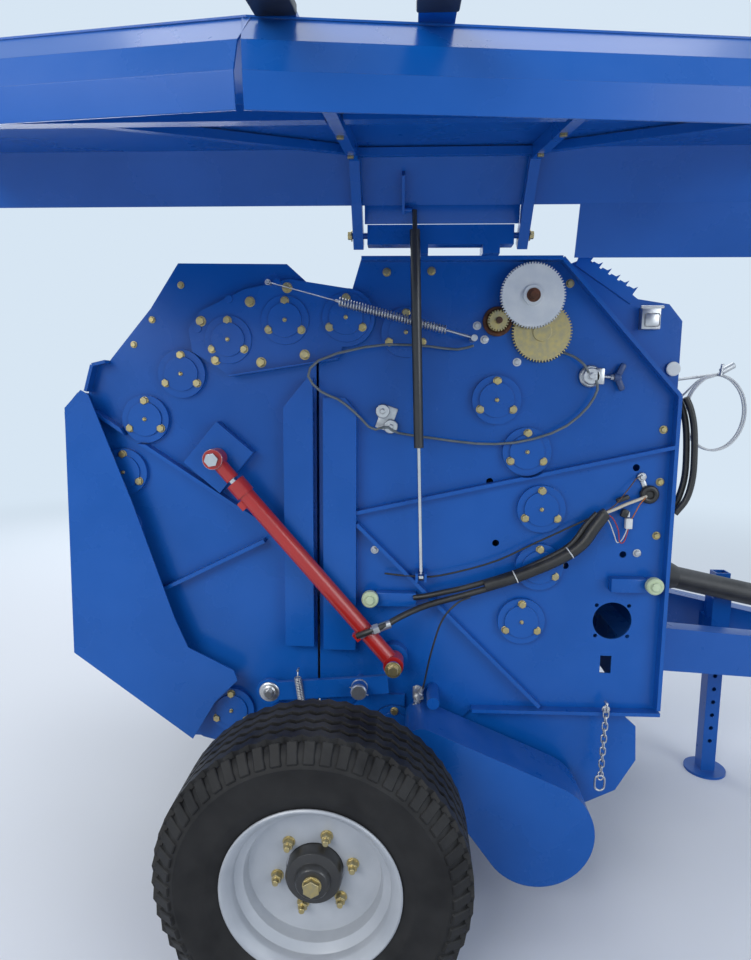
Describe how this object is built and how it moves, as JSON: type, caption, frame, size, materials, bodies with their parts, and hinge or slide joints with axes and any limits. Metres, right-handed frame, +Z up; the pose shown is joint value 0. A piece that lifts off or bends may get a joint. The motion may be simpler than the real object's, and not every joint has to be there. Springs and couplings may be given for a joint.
{
  "type": "round baler",
  "caption": "Towed round baler with a fixed roller chamber, hinged tailgate, tined pickup, net wrap drive and raised side cover, standing on wheels and a drawbar jack.",
  "frame": {"origin": "centre of the hitch eye at the drawbar's nose", "axes": "+X forward towards the tractor, +Y to the machine's left, +Z up"},
  "size_m": [3.6476, 3.1778, 2.3188],
  "materials": {
    "black_paint": "satin",
    "black_plastic": "matte",
    "blue_paint": "gloss",
    "dark_steel": "matte",
    "hose_rubber": "matte",
    "red_paint": "gloss",
    "rim_paint": "satin",
    "rod_chrome": "polished",
    "tyre_rubber": "matte",
    "white_nylon": "matte",
    "yellow_zinc": "satin",
    "zinc": "satin"
  },
  "bodies": {
    "frame": {"side_plate_right": "blue_paint", "side_plate_left": "blue_paint", "frame_posts_right": "blue_paint", "frame_posts_left": "blue_paint", "cross_members": "blue_paint", "net_box": "blue_paint", "net_comb": "zinc", "front_rollers": "blue_paint", "white_gear": "white_nylon", "plated_gear": "yellow_zinc", "net_pinion": "dark_steel", "net_linkage": "zinc", "tension_spring": "zinc", "latch_right": "blue_paint", "latch_left": "blue_paint", "axle": "blue_paint", "drawbar_beam_right": "blue_paint", "drawbar_beam_left": "blue_paint", "drawbar_head": "blue_paint", "gearbox": "blue_paint", "drive_shaft": "black_plastic", "hoses": "hose_rubber", "drive_chain": "dark_steel"},
    "tailgate": {"tailgate_side_right": "blue_paint", "tailgate_side_left": "blue_paint", "tailgate_beams": "blue_paint", "tailgate_rollers": "blue_paint", "tailgate_guard_right": "blue_paint", "tailgate_guard_left": "blue_paint"},
    "jack": {"jack_leg": "blue_paint"},
    "pickup": {"pickup_frame": "blue_paint", "pickup_bands": "blue_paint", "wind_guard": "blue_paint"},
    "reel": {"pickup_reel": "dark_steel"},
    "wheel_right": {"tyre_right": "tyre_rubber", "rim_right": "rim_paint"},
    "cover_right": {"cover_panel_right": "blue_paint", "cover_arms_right": "blue_paint"},
    "strut_rod_right": {"strut_rod_right": "rod_chrome"},
    "strut_tube_right": {"strut_tube_right": "black_paint"},
    "barrel_right": {"cylinder_barrel_right": "red_paint"},
    "rod_right": {"cylinder_rod_right": "rod_chrome"},
    "wheel_left": {"tyre_left": "tyre_rubber", "rim_left": "rim_paint"},
    "cover_left": {"cover_panel_left": "blue_paint", "cover_arms_left": "blue_paint"},
    "strut_rod_left": {"strut_rod_left": "rod_chrome"},
    "strut_tube_left": {"strut_tube_left": "black_paint"},
    "barrel_left": {"cylinder_barrel_left": "red_paint"},
    "rod_left": {"cylinder_rod_left": "rod_chrome"}
  },
  "joints": [
    {"name": "tailgate_hinge", "type": "hinge", "parent": "frame", "child": "tailgate", "pos_m": [-2.5365, 0, 1.38507], "axis": [0, 1, 0], "range_deg": [0, 55]},
    {"name": "pickup_lift", "type": "hinge", "parent": "frame", "child": "pickup", "pos_m": [-2.25, 0, 0.18], "axis": [0, 1, 0], "range_deg": [0, 15]},
    {"name": "reel_spin", "type": "hinge", "parent": "pickup", "child": "reel", "pos_m": [-1.88, 0, -0.1], "axis": [0, 1, 0], "continuous": true},
    {"name": "jack_slide", "type": "slide", "parent": "frame", "child": "jack", "axis": [0, 0, 1], "range_m": [0, 0.35]},
    {"name": "wheel_spin_right", "type": "hinge", "parent": "frame", "child": "wheel_right", "pos_m": [-2.57, -1.095, -0.088], "axis": [0, 1, 0], "continuous": true},
    {"name": "cover_swing_right", "type": "hinge", "parent": "frame", "child": "cover_right", "pos_m": [-2.255, -0.66, 1.62], "axis": [1, 0, 0], "range_deg": [0, 80]},
    {"name": "strut_swing_right", "type": "hinge", "parent": "frame", "child": "strut_rod_right", "pos_m": [-2.294, -0.665, 0.578], "axis": [1, 0, 0], "range_deg": [0, 1.44]},
    {"name": "strut_slide_right", "type": "slide", "parent": "strut_rod_right", "child": "strut_tube_right", "axis": [-0.0344, -0.041, 0.9986], "range_m": [-0.1001, 0]},
    {"name": "barrel_swing_right", "type": "hinge", "parent": "frame", "child": "barrel_right", "pos_m": [-2.378, -0.69, 0.299], "axis": [0, 1, 0], "range_deg": [0, 8.55]},
    {"name": "rod_slide_right", "type": "slide", "parent": "barrel_right", "child": "rod_right", "axis": [-0.6541, 0, 0.7564], "range_m": [0, 0.5296]},
    {"name": "wheel_spin_left", "type": "hinge", "parent": "frame", "child": "wheel_left", "pos_m": [-2.57, 1.095, -0.088], "axis": [0, 1, 0], "continuous": true},
    {"name": "cover_swing_left", "type": "hinge", "parent": "frame", "child": "cover_left", "pos_m": [-2.255, 0.66, 1.62], "axis": [1, 0, 0], "range_deg": [0, 80]},
    {"name": "strut_swing_left", "type": "hinge", "parent": "frame", "child": "strut_rod_left", "pos_m": [-2.294, 0.665, 0.578], "axis": [1, 0, 0], "range_deg": [0, 1.44]},
    {"name": "strut_slide_left", "type": "slide", "parent": "strut_rod_left", "child": "strut_tube_left", "axis": [-0.0378, 0.0626, 0.9973], "range_m": [0, 0.1001]},
    {"name": "barrel_swing_left", "type": "hinge", "parent": "frame", "child": "barrel_left", "pos_m": [-2.378, 0.69, 0.299], "axis": [0, 1, 0], "range_deg": [0, 8.55]},
    {"name": "rod_slide_left", "type": "slide", "parent": "barrel_left", "child": "rod_left", "axis": [-0.6541, 0, 0.7564], "range_m": [0, 0.5296]}
  ],
  "couplings": [
    {"joint": "strut_swing_right", "follows": "cover_swing_right", "ratio": 0.015562},
    {"joint": "strut_slide_right", "follows": "cover_swing_right", "m_per_rad": -0.070246},
    {"joint": "barrel_swing_right", "follows": "tailgate_hinge", "ratio": 0.15006},
    {"joint": "rod_slide_right", "follows": "tailgate_hinge", "m_per_rad": 0.54754},
    {"joint": "strut_swing_left", "follows": "cover_swing_left", "ratio": 0.015562},
    {"joint": "strut_slide_left", "follows": "cover_swing_left", "m_per_rad": 0.070246},
    {"joint": "barrel_swing_left", "follows": "tailgate_hinge", "ratio": 0.15006},
    {"joint": "rod_slide_left", "follows": "tailgate_hinge", "m_per_rad": 0.54754}
  ]
}
